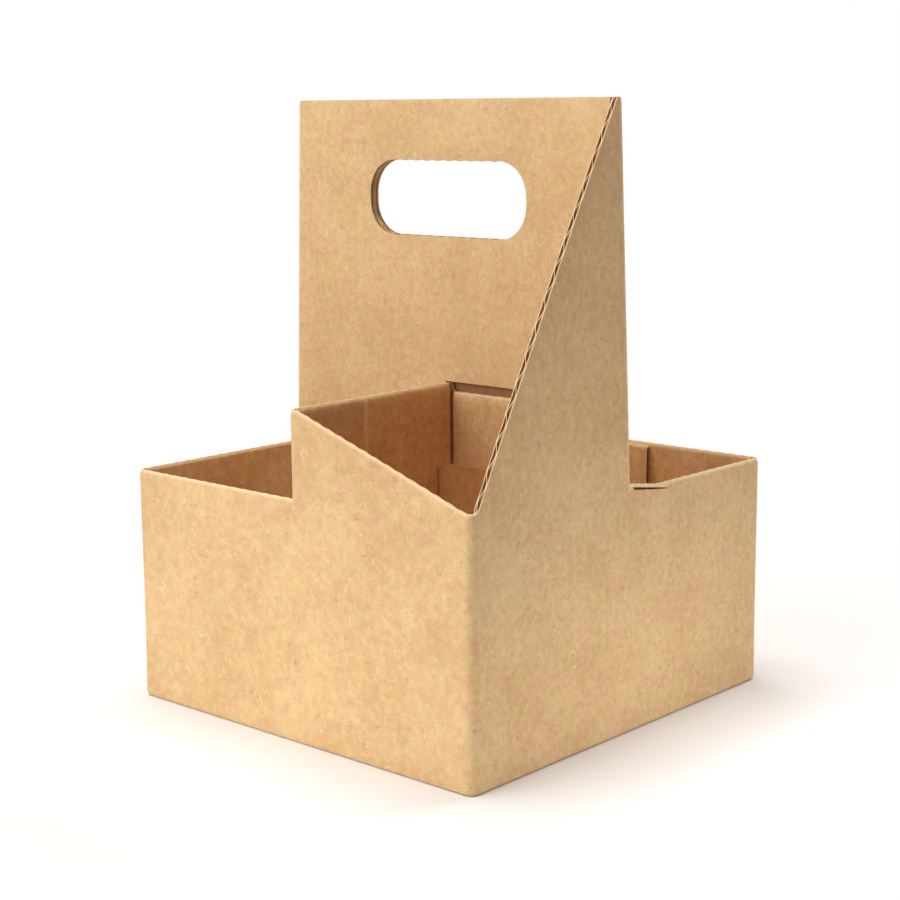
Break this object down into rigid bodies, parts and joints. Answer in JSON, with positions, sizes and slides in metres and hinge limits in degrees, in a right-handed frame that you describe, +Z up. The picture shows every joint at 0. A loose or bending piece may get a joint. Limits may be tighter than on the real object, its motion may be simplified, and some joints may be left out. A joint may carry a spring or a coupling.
{
  "type": "cup carrier",
  "caption": "Four-cup carrier folded from one sheet of corrugated board: a square tray, two cross dividers, side gussets and an upright panel with a hand hole.",
  "frame": {"origin": "centre of the underside, on the surface that the carrier stands on", "axes": "+X along the handle, +Y from the front wall to the back wall, +Z up"},
  "size_m": [0.2, 0.202, 0.267],
  "materials": {
    "kraft_board": "unbleached kraft liner, uncoated and matt"
  },
  "bodies": {
    "root": {"cup_carrier": "kraft_board"}
  },
  "joints": []
}
